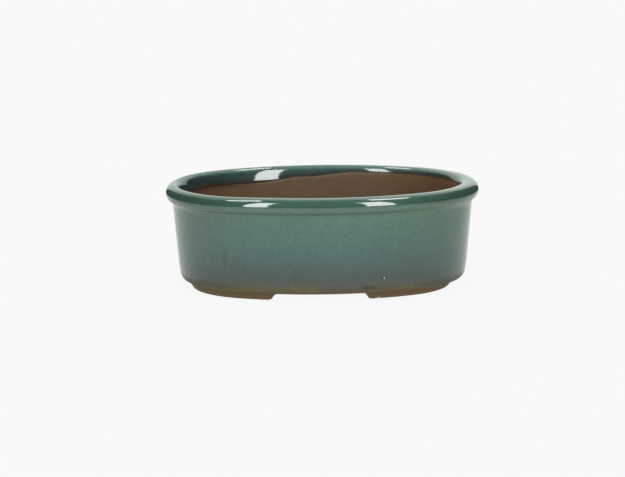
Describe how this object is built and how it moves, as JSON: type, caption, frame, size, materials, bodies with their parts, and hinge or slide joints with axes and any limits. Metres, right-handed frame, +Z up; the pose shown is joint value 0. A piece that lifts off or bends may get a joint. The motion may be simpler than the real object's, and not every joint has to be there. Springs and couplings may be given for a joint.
{
  "type": "ikebana suiban",
  "caption": "Oval footed stoneware flower bowl with a green glazed outside and rolled rim, a bare clay inside and a lift-out pin holder for stems.",
  "frame": {"origin": "on the table under the centre of the bowl", "axes": "+X along the bowl's length towards the right end in the picture, +Y to the back, +Z up"},
  "size_m": [0.155, 0.116, 0.0521],
  "materials": {
    "clay": "bare fired brown stoneware, matt and slightly grainy",
    "glaze": "glossy grey-green glaze, bluer and thinner towards the foot",
    "lead_alloy": "dull grey cast lead alloy",
    "pin_brass": "drawn brass wire, slightly toned",
    "rubber": "matt black rubber"
  },
  "bodies": {
    "bowl": {"floor_slab": "clay", "wall_band": "clay", "rim_roll": "clay", "foot_left": "clay", "foot_right": "clay", "glaze_coat": "glaze"},
    "kenzan": {"kenzan_weight": "lead_alloy", "kenzan_pins": "pin_brass", "kenzan_grip_ring": "rubber"}
  },
  "joints": [
    {"name": "kenzan_lift", "type": "slide", "parent": "bowl", "child": "kenzan", "axis": [0, 0, 1], "range_m": [0, 0.06]}
  ]
}
